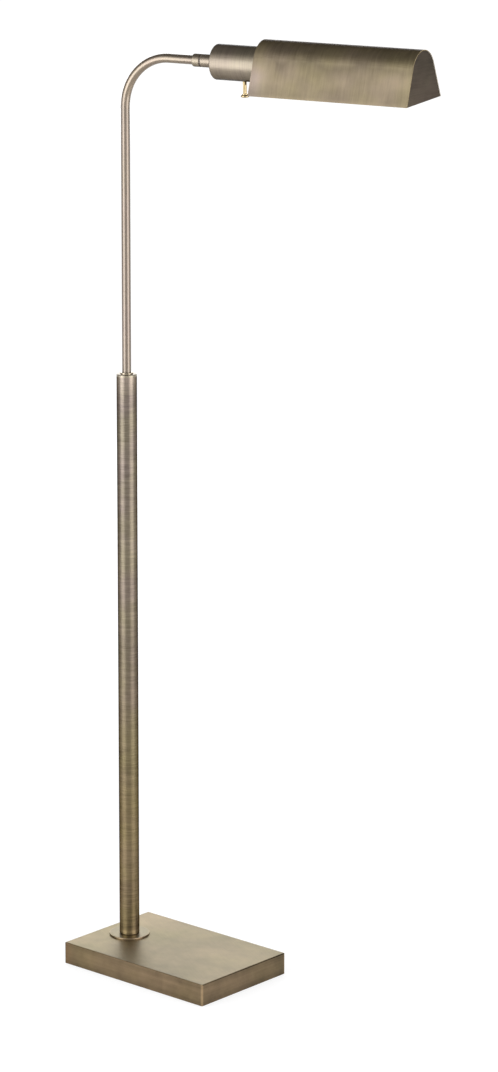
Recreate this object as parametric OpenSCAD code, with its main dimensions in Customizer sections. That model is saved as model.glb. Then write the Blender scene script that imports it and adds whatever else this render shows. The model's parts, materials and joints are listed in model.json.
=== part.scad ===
// Adjustable reading floor lamp in brushed brass.
// A weighted foot carries a pole, a sliding bent stem and a trough shade that turns about the arm.
// Millimetres. Origin on the pole's axis at floor level, +Z up, +X along the arm.

/* [Base] */
// Length of the foot
base_length = 266; // [230:1:320]
// Width of the foot
base_width = 177; // [150:1:220]
// Height of the foot above the floor
base_height = 32.5; // [30:0.5:45]
// Sheet thickness of the foot's cover
base_wall = 1.6; // [1.2:0.1:2.5]
// Rounding of the cover's edges
base_edge = 1.8; // [1:0.1:3]
// Pole axis from the foot's rear edge
pole_setback = 45; // [38:1:70]
// Angle of the foot's long side from the arm
base_turn = -11; // [-30:1:30]
// Height of the cover's rim above the floor
base_rim = 1; // [0.5:0.1:1.5]
// Thickness of the felt pad
felt_t = 2; // [1.8:0.1:3]
// Thickness of the cast weight
weight_t = 14; // [10:0.5:16]
// Thickness of the bottom plate
bottom_t = 1.5; // [1.2:0.1:2.5]

/* [Cord inlet] */
// Bore of the cord bushing
cord_bore = 7; // [5:0.1:8]
// Wall of the cord bushing
bushing_wall = 1.8; // [1.2:0.1:2.5]

/* [Foot joint] */
// Diameter of the foot flange
flange_d = 58; // [48:0.5:70]
// Thickness of the foot flange
flange_t = 2.6; // [2:0.1:4]
// Diameter of the hollow stud
stud_d = 10; // [9:0.1:12]
// Wall of the hollow stud
stud_wall = 1.5; // [1:0.1:2.5]
// Width of the stud nut across its flats
stud_nut_af = 17; // [16:0.5:19]
// Height of the stud nut
stud_nut_h = 4.5; // [3.5:0.5:6]
// Diameter of the stud washer
stud_washer_d = 26; // [23:0.5:30]
// Thickness of the stud washer
stud_washer_t = 2; // [1.5:0.1:2.5]
// Depth of the plug in the pole's foot
plug_len = 30; // [20:1:50]

/* [Pole] */
// Outer diameter of the pole
pole_d = 28.6; // [26:0.1:34]
// Wall of the pole
pole_wall = 1.3; // [1:0.1:1.5]
// Height of the pole's top above the floor
pole_top = 859; // [780:1:900]
// Height of the pole cap's head
cap_head = 3.4; // [2.5:0.1:8]
// Rounding of the pole cap's shoulder
cap_round = 1.2; // [1:0.1:3.5]
// Depth of the pole cap's spigot in the pole
cap_spigot = 30; // [20:1:45]
// Wall of the guide bush
bush_wall = 1.5; // [1.2:0.1:2]
// Flange thickness of the guide bush
bush_flange = 2; // [1.5:0.1:3]
// Height of the friction ring
grip_h = 2.5; // [2:0.1:3]
// Seat of the cap ring on the pole cap
ring_seat = 1.2; // [0.6:0.1:2]
// Height of the cap ring
ring_h = 2; // [1.6:0.1:3]
// Rounding of the cap ring's upper edge
ring_round = 0.6; // [0.3:0.1:1]

/* [Stem] */
// Outer diameter of the stem
stem_d = 12.7; // [12:0.1:13.5]
// Wall of the stem
stem_wall = 1.2; // [0.9:0.1:1.5]
// Height of the arm's axis above the floor
arm_height = 1303; // [1250:1:1400]
// Centreline radius of the bend
bend_radius = 70; // [45:1:90]
// Length of the stem's straight arm past the bend
arm_straight = 48.5; // [25:0.5:90]
// Rise from here to the upper stop
up_travel = 50; // [40:1:80]
// Length of the glide sleeve
glide_len = 40; // [25:1:60]
// Height of the stop collar
stop_h = 8; // [5:0.5:12]
// Wall of the stop collar
stop_wall = 3.6; // [2.5:0.1:5]
// Flange height of the stem foot
stem_foot_h = 4; // [3:0.5:6]

/* [Swivel] */
// Wall of the ferrule around the stem
ferrule_wall = 2.5; // [2:0.1:4]
// Grip of the ferrule on the stem
ferrule_grip = 8; // [6:0.5:14]
// Web of the ferrule past the stem's end
ferrule_web = 3.5; // [3.5:0.1:6]
// Width of the dark groove between the two halves
groove_w = 2.8; // [1:0.1:4]
// Depth of the groove
groove_depth = 0.8; // [0.4:0.1:1.2]
// Length of the swivel collar
collar_len = 22.2; // [20:0.1:32]
// Diameter of the hollow spigot that the head turns on
spigot_d = 9.5; // [9:0.1:10]
// Wall of the spigot
spigot_wall = 2; // [1.6:0.1:2.5]
// Swing of the head each way from level
head_swing = 95; // [60:1:120]
// Diameter of the stop screw
stop_screw_d = 2.5; // [2:0.1:3]
// Turn of the head about the arm
shade_roll = 3.4; // [-20:0.1:20]

/* [Socket cup] */
// Outer diameter of the cup
cup_d = 48.5; // [47:0.1:54]
// Wall of the cup
cup_wall = 1; // [0.8:0.1:1.4]
// Length of the cup from its closed end to the shade
cup_len = 74.5; // [74:0.5:90]
// Rounding of the cup's closed end
cup_round = 1.8; // [1:0.1:3]
// Wall of the collar's neck through the cup's end
neck_wall = 2.2; // [1.6:0.1:3]
// Wall of the cup nut at its flats
cup_nut_wall = 2.5; // [2:0.1:4]
// Height of the cup nut
cup_nut_h = 4; // [3:0.5:5]

/* [Lampholder] */
// Wall of the lampholder's body
holder_wall = 3.2; // [2.5:0.1:4.5]
// Room for the leads behind the lampholder
lead_room = 9; // [6:0.5:14]
// Thickness of the lampholder's flange
holder_flange = 6; // [4:0.5:8]
// Length of the lampholder's threaded sleeve through the shade
sleeve_len = 14; // [10:0.5:16]
// Wall of the shade ring
shade_ring_wall = 5; // [3:0.1:7]
// Length of the shade ring
shade_ring_h = 6; // [4:0.5:8]
// Depth of the lampholder's bore
bore_depth = 36; // [33:0.5:37]
// Sheet thickness of the holder bracket
bracket_t = 1.5; // [1:0.1:2]
// Width of the holder bracket's arms
bracket_w = 9; // [8:0.5:12]

/* [Shade] */
// Length of the shade
shade_length = 240.5; // [200:0.5:280]
// Top of the shade above the arm's axis
shade_rise = 34.5; // [32:0.1:40]
// Rim of the shade below the arm's axis
shade_drop = 34.4; // [30:0.1:42]
// Width of the shade at its rim
shade_rim_w = 95.8; // [85:0.1:110]
// Radius of the shade's arched top
shade_top_r = 31.3; // [29.5:0.1:33]
// Sheet thickness of the shade
shade_wall = 0.9; // [0.7:0.1:1.2]
// Thickness of the shade's end plates
plate_t = 0.9; // [0.7:0.1:1.5]
// Setback of the end plates from the shell's ends
plate_inset = 0.6; // [0.3:0.1:2]

/* [Bulb] */
// Diameter of the bulb's screw cap
bulb_cap_d = 26.2; // [25:0.1:27]
// Length of the bulb's screw cap
bulb_cap_len = 24; // [20:0.5:26]
// Diameter of the bulb's glass tube
bulb_d = 32; // [28:0.5:40]
// Length of the bulb's glass
bulb_len = 112; // [90:1:140]
// Wall of the bulb's glass
bulb_wall = 0.9; // [0.7:0.1:1.2]

/* [Switch] */
// Web between the switch and the lampholder's bore
switch_web = 5; // [3:0.1:9]
// Diameter of the switch shaft
shaft_d = 5.5; // [4:0.1:6.5]
// Drop of the knob below the cup
shaft_drop = 16.5; // [10:0.5:24]
// Diameter of the knob
knob_d = 12.2; // [11:0.1:16]
// Height of the knob
knob_h = 5; // [4:0.1:7]
// Wall of the knob's hub
hub_wall = 1.3; // [1.2:0.1:2]

/* [Fits] */
// Gap between pieces that are pressed, screwed or soldered together
fit_gap = 0.05; // [0.02:0.01:0.1]
// Radial gap of a running fit
run_gap = 0.06; // [0.03:0.01:0.1]
// Gap between moving pieces that never bear on each other
swing_gap = 0.4; // [0.3:0.1:0.6]

/* [Hidden] */
$fn = 96;
cut = 1;
arc_steps = 8;
hull_fn = 32;

// Foot
base_x0 = -pole_setback;
base_x1 = base_length - pole_setback;
pad_margin = 5;
weight_gap = 0.3;
weight_x0 = base_x0 + base_wall + weight_gap;
weight_l = base_length - 2 * (base_wall + weight_gap);
weight_w = base_width - 2 * (base_wall + weight_gap);
weight_top = base_height - base_wall;
weight_z = weight_top - weight_t;
bottom_top = felt_t + bottom_t;
boss_inset = 22;
boss_d = 12;
bottom_screw_d = 4;
bottom_screw_head = 7;
bottom_screw_len = 10;
bushing_d = cord_bore + 2 * bushing_wall;
bushing_lip = 1.6;
bushing_rim = 1.7;
bushing_catch = 0.6;
bushing_grip = 4;
channel_slack = 0.7;
channel_w = bushing_d + 2 * (bushing_catch + channel_slack);
inlet_z = bottom_top + channel_w / 2;

// Stud and flange
stud_bore = stud_d - 2 * stud_wall;
stud_hole_d = stud_d + 1;
stud_tail = 1;
stud_free = 4;
washer_z = weight_z - stud_washer_t;
nut_z = washer_z - stud_nut_h;
stud_z = nut_z - stud_tail;
foot_z = base_height + flange_t;
flange_round = min(1, flange_t / 2);
pole_round = min(1, pole_wall);

// Pole and cap
pole_bore = pole_d - 2 * pole_wall;
pole_end = pole_top - cap_head;
plug_d = pole_bore - 2 * fit_gap;
shoulder = min(cap_round, cap_head);
spigot_z = pole_end - cap_spigot;
bush_bore = stem_d + 2 * run_gap;
bush_d = bush_bore + 2 * bush_wall;
bush_z = spigot_z - bush_flange;
bush_top = pole_top - grip_h;
cap_bore = bush_d + 2 * fit_gap;
ring_bore = stem_d + 2 * swing_gap;
ring_d = cap_bore + 2 * ring_seat;

// Stem
stem_bore = stem_d - 2 * stem_wall;
stop_d = stem_d + 2 * (fit_gap + stop_wall);
stop_z = bush_z - up_travel - stop_h;
glide_z = stop_z - fit_gap - glide_len;
stem_z = glide_z - fit_gap;
stem_foot_grip = 12;
stem_foot_wall = 2;
bend_z = arm_height - bend_radius;
stem_end = bend_radius + arm_straight;

// Swivel, as stations along the arm
swivel_d = stem_d + 2 * ferrule_wall;
ferrule_round = min(1.2, ferrule_wall - fit_gap);
ferrule_x = stem_end - ferrule_grip;
groove_x = stem_end + ferrule_web;
groove_d = swivel_d - 2 * groove_depth;
collar_x = groove_x + groove_w + fit_gap;
cup_x = collar_x + collar_len;
neck_d = spigot_d + 2 * (run_gap + neck_wall);
neck_free = 1;
bracket_x = cup_x + cup_wall;
cup_nut_x = bracket_x + bracket_t;
neck_x = cup_nut_x + cup_nut_h + neck_free;
spring_x = neck_x + fit_gap;
spring_t = 1;
spigot_nut_x = spring_x + spring_t;
spigot_nut_h = 4;
spigot_bore = spigot_d - 2 * spigot_wall;
spigot_end = spigot_nut_x + spigot_nut_h + neck_free;
stop_x = collar_x + collar_len / 2;
stop_bite = 1;
stop_sink = 0.5;
stop_slot = stop_screw_d + 2 * swing_gap;
stop_r = spigot_d / 2 - stop_bite;
slot_half = head_swing + asin(stop_slot / 2 / stop_r);

// Cup and lampholder
cup_bore = cup_d - 2 * cup_wall;
mouth_x = cup_x + cup_len;
shade_x = mouth_x - plate_inset;
shade_end = shade_x + shade_length;
shell_wall = 0.5;
shell_slack = 0.15;
shell_bore = bulb_cap_d + 2 * shell_slack;
shell_d = shell_bore + 2 * shell_wall;
shell_back = 1;
shell_front = 3;
holder_bore = shell_d + 2 * fit_gap;
holder_d = holder_bore + 2 * holder_wall;
holder_x = spigot_end + lead_room;
flange_x = mouth_x - holder_flange;
plate_slack = 0.3;
shade_ring_x = mouth_x + plate_t;
sleeve_end = mouth_x + sleeve_len;
seat_x = sleeve_end - bore_depth;
contact_t = 0.8;
contact_d = 10;
bracket_in = 1;
bracket_d = holder_d - 2 * bracket_in;
bracket_screw_d = 3;
bracket_screw_in = 5.5;
bracket_screw_y = bracket_d / 2 - bracket_screw_in;
bracket_screw_len = 8;
screw_head_d = 5.5;
screw_head_h = 2;

// Bulb
insulator_x = seat_x + contact_t;
insulator_h = 2.5;
insulator_tuck = 3;
bulb_cap_x = insulator_x + insulator_h;
bulb_cap_wall = 1.2;
bulb_cap_bore = bulb_cap_d - 2 * bulb_cap_wall;
glass_x = bulb_cap_x + bulb_cap_len;
glass_tuck = 4;
glass_neck_r = bulb_cap_bore / 2 - fit_gap;
glass_neck_end = sleeve_end + 1;
flare_len = 12;
glass_end = glass_x + bulb_len;

// Switch
rotor_wall = 2.3;
rotor_d = shaft_d + 2 * rotor_wall;
rotor_h = 4.5;
rotor_free = 2.5;
chamber_d = rotor_d + 2 * swing_gap;
switch_x = seat_x - switch_web - chamber_d / 2;
switch_bush_h = 5;
rotor_z = -holder_d / 2 + switch_bush_h + fit_gap;
chamber_z = rotor_z + rotor_h + rotor_free;
shaft_slack = 1;
knob_z = -cup_d / 2 - shaft_drop;
knob_grip = 2.5;
hub_d = shaft_d + 2 * hub_wall;
hub_h = 1.4;
knob_round = min(1.6, (knob_h - hub_h) / 2);

// Arched outline of the shade, with its sides tangent to the arch
arch_z = shade_rise - shade_top_r;
rim_reach = norm([shade_rim_w / 2, shade_drop + arch_z]);
side_angle = acos(shade_top_r / rim_reach) - atan2(shade_drop + arch_z, shade_rim_w / 2);

brass = "#8d7c5a";
bright_brass = "#d8b65c";
steel = "#a9abad";
iron = "#4a4a4c";
nylon = "#e6e2d8";
black = "#2a2a2c";
glass = "#f3f1ea";
felt = "#3a5a3c";

// Points of an arc, for the outlines below
function arc(centre, r, from, to) =
    [for (i = [0:arc_steps]) centre + r * [cos(from + (to - from) * i / arc_steps),
                                           sin(from + (to - from) * i / arc_steps)]];

// Half width of the shade's side at a height, taken in by a wall
function side_y(z, inset) = (shade_top_r - inset - (z - arch_z) * sin(side_angle)) / cos(side_angle);

module on_base() { rotate([0, 0, base_turn]) children(); }

module on_arm() { translate([0, 0, arm_height]) children(); }

module on_head() { on_arm() rotate([shade_roll, 0, 0]) children(); }

// Section of the shade: a round arch on a trapezium with sides tangent to it
module shade_section(inset, rim) {
    arch_r = shade_top_r - inset;
    tangent = [arch_r * cos(side_angle), arch_z + arch_r * sin(side_angle)];
    foot = [side_y(rim, inset), rim];
    translate([0, arch_z]) circle(r = arch_r);
    polygon([foot, tangent, [-tangent.x, tangent.y], [-foot.x, foot.y]]);
}

// Turns a solid made along Z to lie along X
module along_x(x) { translate([x, 0, 0]) rotate([0, 90, 0]) children(); }

// Turns an outline of radius and station about X
module turned_x(points) { rotate([0, 90, 0]) rotate_extrude() polygon(points); }

module tube(d, bore, length) {
    difference() {
        cylinder(d = d, h = length);
        translate([0, 0, -cut]) cylinder(d = bore, h = length + 2 * cut);
    }
}

module hex_nut(across, bore, height) {
    difference() {
        cylinder(d = across / cos(30), h = height, $fn = 6);
        translate([0, 0, -cut]) cylinder(d = bore, h = height + 2 * cut);
    }
}

module felt_pad() {
    color(felt) on_base()
        translate([weight_x0 + pad_margin, -weight_w / 2 + pad_margin, 0])
            cube([weight_l - 2 * pad_margin, weight_w - 2 * pad_margin, felt_t]);
}

module at_bosses() {
    for (x = [weight_x0 + boss_inset, weight_x0 + weight_l - boss_inset], side = [-1, 1])
        translate([x, side * (weight_w / 2 - boss_inset), 0]) children();
}

module base_weight() {
    color(iron) on_base() difference() {
        union() {
            translate([weight_x0, -weight_w / 2, weight_z]) cube([weight_l, weight_w, weight_t]);
            at_bosses() translate([0, 0, bottom_top]) cylinder(d = boss_d, h = weight_z - bottom_top + cut);
        }
        cylinder(d = stud_hole_d, h = base_height + cut);
        translate([base_x0, -channel_w / 2, bottom_top])
            cube([base_wall + fit_gap + bushing_grip + channel_slack, channel_w, channel_w]);
        at_bosses() translate([0, 0, bottom_top - cut])
            cylinder(d = bottom_screw_d + 2 * fit_gap, h = bottom_screw_len + cut);
    }
}

module bottom_plate() {
    color(steel) on_base() difference() {
        translate([weight_x0, -weight_w / 2, felt_t]) cube([weight_l, weight_w, bottom_t]);
        at_bosses() bottom_screw(fit_gap);
    }
}

// Countersunk screw, or its hole when grown by a gap
module bottom_screw(gap) {
    translate([0, 0, felt_t])
        cylinder(d1 = bottom_screw_head + 2 * gap, d2 = bottom_screw_d + 2 * gap, h = bottom_t);
    translate([0, 0, bottom_top]) cylinder(d = bottom_screw_d + 2 * gap, h = bottom_screw_len - fit_gap);
}

module bottom_screws() {
    color(steel) on_base() at_bosses() bottom_screw(0);
}

module base_cover() {
    color(brass) on_base() difference() {
        hull() {
            for (x = [base_x0 + base_edge, base_x1 - base_edge], side = [-1, 1])
                translate([x, side * (base_width / 2 - base_edge), 0]) {
                    translate([0, 0, base_rim]) cylinder(r = base_edge, h = cut, $fn = hull_fn);
                    translate([0, 0, base_height - base_edge]) sphere(r = base_edge, $fn = hull_fn);
                }
            translate([base_x0 + base_edge, -base_width / 2 + base_edge, base_height - cut])
                cube([base_length - 2 * base_edge, base_width - 2 * base_edge, cut]);
        }
        translate([base_x0 + base_wall, -base_width / 2 + base_wall, base_rim - cut])
            cube([base_length - 2 * base_wall, base_width - 2 * base_wall, weight_top - base_rim + cut]);
        cylinder(d = stud_hole_d, h = base_height + cut);
        translate([0, 0, inlet_z]) along_x(base_x0 - cut)
            cylinder(d = bushing_d + 2 * fit_gap, h = base_wall + 2 * cut);
    }
}

module cord_bushing() {
    wall_in = base_wall + fit_gap;
    rim_r = bushing_d / 2 + bushing_rim;
    color(black) on_base() translate([base_x0, 0, inlet_z])
        turned_x([[cord_bore / 2, -bushing_lip],
                  [rim_r - bushing_catch, -bushing_lip],
                  [rim_r, -bushing_lip + bushing_catch],
                  [rim_r, 0],
                  [bushing_d / 2, 0],
                  [bushing_d / 2, wall_in],
                  [bushing_d / 2 + bushing_catch, wall_in],
                  [bushing_d / 2 + bushing_catch, wall_in + bushing_catch],
                  [bushing_d / 2 - bushing_catch, wall_in + bushing_grip],
                  [cord_bore / 2, wall_in + bushing_grip]]);
}

module pole_stud() {
    color(steel) translate([0, 0, stud_z]) tube(stud_d, stud_bore, foot_z + plug_len - stud_free - stud_z);
}

module stud_washer() {
    color(steel) translate([0, 0, washer_z]) tube(stud_washer_d, stud_d + 2 * fit_gap, stud_washer_t);
}

module stud_nut() {
    color(steel) translate([0, 0, nut_z]) hex_nut(stud_nut_af, stud_d + 2 * fit_gap, stud_nut_h);
}

module foot_flange() {
    color(brass) translate([0, 0, base_height]) rotate_extrude()
        polygon(concat([[stud_hole_d / 2, 0], [flange_d / 2, 0]],
                       arc([flange_d / 2 - flange_round, flange_t - flange_round], flange_round, 0, 90),
                       [[stud_hole_d / 2, flange_t]]));
}

module pole_plug() {
    color(steel) translate([0, 0, foot_z]) tube(plug_d, stud_d + 2 * fit_gap, plug_len);
}

module lower_pole() {
    color(brass) rotate_extrude()
        polygon(concat([[pole_bore / 2, foot_z]],
                       arc([pole_d / 2 - pole_round, foot_z + pole_round], pole_round, -90, 0),
                       [[pole_d / 2, pole_end], [pole_bore / 2, pole_end]]));
}

module pole_cap() {
    color(brass) rotate_extrude()
        polygon(concat([[cap_bore / 2, spigot_z], [plug_d / 2, spigot_z],
                        [plug_d / 2, pole_end], [pole_d / 2, pole_end]],
                       arc([pole_d / 2 - shoulder, pole_top - shoulder], shoulder, 0, 90),
                       [[cap_bore / 2, pole_top]]));
}

module guide_bush() {
    color(nylon) rotate_extrude()
        polygon([[bush_bore / 2, bush_z], [plug_d / 2, bush_z], [plug_d / 2, spigot_z],
                 [bush_d / 2, spigot_z], [bush_d / 2, bush_top], [bush_bore / 2, bush_top]]);
}

module friction_ring() {
    color(black) translate([0, 0, bush_top]) tube(bush_d, bush_bore, grip_h);
}

module cap_ring() {
    color(brass) translate([0, 0, pole_top]) rotate_extrude()
        polygon(concat([[ring_bore / 2, 0], [ring_d / 2, 0]],
                       arc([ring_d / 2 - ring_round, ring_h - ring_round], ring_round, 0, 90),
                       [[ring_bore / 2, ring_h]]));
}

module glide_sleeve() {
    color(nylon) translate([0, 0, glide_z]) tube(pole_bore - 2 * run_gap, bush_bore, glide_len);
}

module stem_foot() {
    grip_r = stem_bore / 2 - fit_gap;
    bore_r = grip_r - stem_foot_wall;
    color(nylon) rotate_extrude()
        polygon([[bore_r, stem_z - stem_foot_h], [stop_d / 2, stem_z - stem_foot_h],
                 [stop_d / 2, stem_z], [grip_r, stem_z], [grip_r, stem_z + stem_foot_grip],
                 [bore_r, stem_z + stem_foot_grip]]);
}

module stop_collar() {
    color(steel) translate([0, 0, stop_z]) tube(stop_d, stem_d + 2 * fit_gap, stop_h);
}

module stem_tube() {
    color(brass) {
        translate([0, 0, stem_z]) tube(stem_d, stem_bore, bend_z - stem_z);
        translate([bend_radius, 0, bend_z]) rotate([90, 0, 0]) rotate([0, 0, 90]) rotate_extrude(angle = 90)
            translate([bend_radius, 0]) difference() {
                circle(d = stem_d);
                circle(d = stem_bore);
            }
        on_arm() along_x(bend_radius) tube(stem_d, stem_bore, arm_straight);
    }
}

module arm_ferrule() {
    stem_r = stem_d / 2 + fit_gap;
    spigot_r = spigot_d / 2 + fit_gap;
    color(brass) on_arm()
        turned_x(concat([[stem_r, ferrule_x]],
                        arc([swivel_d / 2 - ferrule_round, ferrule_x + ferrule_round],
                            ferrule_round, -90, 0),
                        [[swivel_d / 2, groove_x], [spigot_r, groove_x],
                         [spigot_r, stem_end + fit_gap], [stem_r, stem_end + fit_gap]]));
}

module swivel_spigot() {
    color(bright_brass) on_arm() difference() {
        along_x(stem_end + fit_gap) tube(spigot_d, spigot_bore, spigot_end - stem_end - fit_gap);
        along_x(stop_x - stop_slot / 2) rotate([0, 0, 90 - slot_half])
            rotate_extrude(angle = 2 * slot_half)
                translate([stop_r - swing_gap, 0]) square([stop_bite + swing_gap + cut, stop_slot]);
    }
}

module swivel_washer() {
    color(black) on_arm() along_x(groove_x) tube(groove_d, spigot_d + 2 * fit_gap, groove_w);
}

module spring_washer() {
    color(steel) on_arm() along_x(spring_x) tube(neck_d, spigot_d + 2 * fit_gap, spring_t);
}

module spigot_nut() {
    color(steel) on_arm() along_x(spigot_nut_x) hex_nut(neck_d, spigot_d + 2 * fit_gap, spigot_nut_h);
}

module swivel_collar() {
    spigot_r = spigot_d / 2 + run_gap;
    color(brass) on_head() difference() {
        turned_x([[spigot_r, collar_x], [swivel_d / 2, collar_x], [swivel_d / 2, cup_x],
                  [neck_d / 2, cup_x], [neck_d / 2, neck_x], [spigot_r, neck_x]]);
        translate([stop_x, 0, 0]) rotate([-90, 0, 0])
            cylinder(d = stop_screw_d + 2 * fit_gap, h = swivel_d);
    }
}

module stop_screw() {
    color(steel) on_head() translate([stop_x, stop_r, 0]) rotate([-90, 0, 0])
        cylinder(d = stop_screw_d, h = swivel_d / 2 - stop_sink - stop_r);
}

module socket_cup() {
    color(brass) on_head() difference() {
        turned_x(concat([[neck_d / 2 + fit_gap, cup_x]],
                        arc([cup_d / 2 - cup_round, cup_x + cup_round], cup_round, -90, 0),
                        [[cup_d / 2, mouth_x], [cup_bore / 2, mouth_x], [cup_bore / 2, cup_x + cup_round],
                         [cup_bore / 2 - cup_round + cup_wall, cup_x + cup_wall],
                         [neck_d / 2 + fit_gap, cup_x + cup_wall]]));
        translate([switch_x, 0, -cup_d]) cylinder(d = shaft_d + 2 * shaft_slack, h = cup_d);
    }
}

module cup_nut() {
    bore = neck_d + 2 * fit_gap;
    color(steel) on_head() along_x(cup_nut_x) hex_nut(bore + 2 * cup_nut_wall, bore, cup_nut_h);
}

module holder_bracket() {
    color(steel) on_head() difference() {
        union() {
            along_x(bracket_x) cylinder(d = bracket_d, h = bracket_t);
            for (side = [0, 180]) rotate([side, 0, 0]) {
                translate([bracket_x, bracket_d / 2 - bracket_t, -bracket_w / 2])
                    cube([holder_x - bracket_x, bracket_t, bracket_w]);
                translate([holder_x - bracket_t, bracket_screw_y - bracket_w / 2, -bracket_w / 2])
                    cube([bracket_t, bracket_d / 2 - bracket_screw_y + bracket_w / 2, bracket_w]);
            }
        }
        along_x(bracket_x - cut) cylinder(d = neck_d + 2 * fit_gap, h = bracket_t + 2 * cut);
        for (side = [-1, 1]) translate([0, side * bracket_screw_y, 0]) along_x(holder_x - bracket_t - cut)
            cylinder(d = bracket_screw_d + 2 * fit_gap, h = bracket_t + 2 * cut);
    }
}

module holder_screws() {
    color(steel) on_head() for (side = [-1, 1]) translate([0, side * bracket_screw_y, 0]) {
        along_x(holder_x - bracket_t - screw_head_h) cylinder(d = screw_head_d, h = screw_head_h);
        along_x(holder_x - bracket_t) cylinder(d = bracket_screw_d, h = bracket_t + bracket_screw_len);
    }
}

module lampholder_body() {
    color(nylon) on_head() difference() {
        turned_x([[0, holder_x], [holder_d / 2, holder_x], [holder_d / 2, flange_x],
                  [cup_bore / 2 - fit_gap, flange_x], [cup_bore / 2 - fit_gap, mouth_x],
                  [holder_d / 2, mouth_x], [holder_d / 2, sleeve_end],
                  [holder_bore / 2, sleeve_end], [holder_bore / 2, seat_x], [0, seat_x]]);
        for (side = [-1, 1]) translate([0, side * bracket_screw_y, 0]) along_x(holder_x - cut)
            cylinder(d = bracket_screw_d + 2 * fit_gap, h = bracket_screw_len + cut);
        translate([switch_x, 0, -holder_d]) cylinder(d = chamber_d, h = holder_d + chamber_z);
    }
}

module switch_bush() {
    color(bright_brass) on_head() translate([switch_x, 0, -holder_d / 2])
        tube(chamber_d - 2 * fit_gap, shaft_d + 2 * run_gap, switch_bush_h);
}

module screw_shell() {
    color(bright_brass) on_head() along_x(seat_x + shell_back)
        tube(shell_d, shell_bore, bore_depth - shell_back - shell_front);
}

module centre_contact() {
    color(bright_brass) on_head() along_x(seat_x) cylinder(d = contact_d, h = contact_t);
}

module shade_ring() {
    color(nylon) on_head() along_x(shade_ring_x)
        tube(holder_d + 2 * (fit_gap + shade_ring_wall), holder_d + 2 * fit_gap, shade_ring_h);
}

module shade_shell() {
    color(brass) on_head() translate([shade_x, 0, 0]) rotate([90, 0, 90]) linear_extrude(shade_length)
        difference() {
            shade_section(0, -shade_drop);
            shade_section(shade_wall, -shade_drop - cut);
        }
}

module end_plate(x) {
    translate([x, 0, 0]) rotate([90, 0, 90]) linear_extrude(plate_t)
        shade_section(shade_wall + fit_gap, -shade_drop);
}

module shade_rear_plate() {
    color(brass) on_head() difference() {
        end_plate(mouth_x);
        along_x(mouth_x - cut) cylinder(d = holder_d + 2 * plate_slack, h = plate_t + 2 * cut);
    }
}

module shade_front_plate() {
    color(brass) on_head() end_plate(shade_end - plate_inset - plate_t);
}

module bulb_cap() {
    color(steel) on_head() along_x(bulb_cap_x) tube(bulb_cap_d, bulb_cap_bore, bulb_cap_len);
}

module bulb_insulator() {
    color(black) on_head()
        turned_x([[0, insulator_x], [contact_d / 2, insulator_x], [glass_neck_r, bulb_cap_x],
                  [glass_neck_r, bulb_cap_x + insulator_tuck], [0, bulb_cap_x + insulator_tuck]]);
}

module bulb_glass() {
    end_r = bulb_d / 2;
    inner_r = glass_neck_r - bulb_wall;
    color(glass) on_head()
        turned_x(concat([[glass_neck_r, glass_x - glass_tuck], [glass_neck_r, glass_neck_end],
                         [end_r, glass_neck_end + flare_len]],
                        arc([0, glass_end - end_r], end_r, 0, 90),
                        arc([0, glass_end - end_r], end_r - bulb_wall, 90, 0),
                        [[end_r - bulb_wall, glass_neck_end + flare_len], [inner_r, glass_neck_end],
                         [inner_r, glass_x - glass_tuck]]));
}

module switch_rotor() {
    color(black) on_head() translate([switch_x, 0, rotor_z]) tube(rotor_d, shaft_d + 2 * fit_gap, rotor_h);
}

module switch_shaft() {
    color(bright_brass) on_head() translate([switch_x, 0, knob_z - knob_grip])
        cylinder(d = shaft_d, h = rotor_z + rotor_h - knob_z + knob_grip);
}

module switch_knob() {
    color(bright_brass) on_head() translate([switch_x, 0, knob_z]) difference() {
        rotate_extrude()
            polygon(concat([[0, -knob_h]],
                           arc([knob_d / 2 - knob_round, -knob_h + knob_round], knob_round, -90, 0),
                           arc([knob_d / 2 - knob_round, -hub_h - knob_round], knob_round, 0, 90),
                           [[hub_d / 2, -hub_h], [hub_d / 2, 0], [0, 0]]));
        translate([0, 0, -knob_grip]) cylinder(d = shaft_d + 2 * fit_gap, h = knob_grip + cut);
    }
}

felt_pad();
bottom_plate();
bottom_screws();
base_weight();
base_cover();
cord_bushing();
pole_stud();
stud_washer();
stud_nut();
foot_flange();
pole_plug();
lower_pole();
pole_cap();
guide_bush();
friction_ring();
cap_ring();
glide_sleeve();
stem_foot();
stop_collar();
stem_tube();
arm_ferrule();
swivel_spigot();
swivel_washer();
spring_washer();
spigot_nut();
swivel_collar();
stop_screw();
socket_cup();
cup_nut();
holder_bracket();
holder_screws();
lampholder_body();
switch_bush();
screw_shell();
centre_contact();
shade_ring();
shade_shell();
shade_rear_plate();
shade_front_plate();
bulb_cap();
bulb_insulator();
bulb_glass();
switch_rotor();
switch_shaft();
switch_knob();
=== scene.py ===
import json
import math

import bmesh
import bpy
from mathutils import Matrix, Vector, noise

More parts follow.
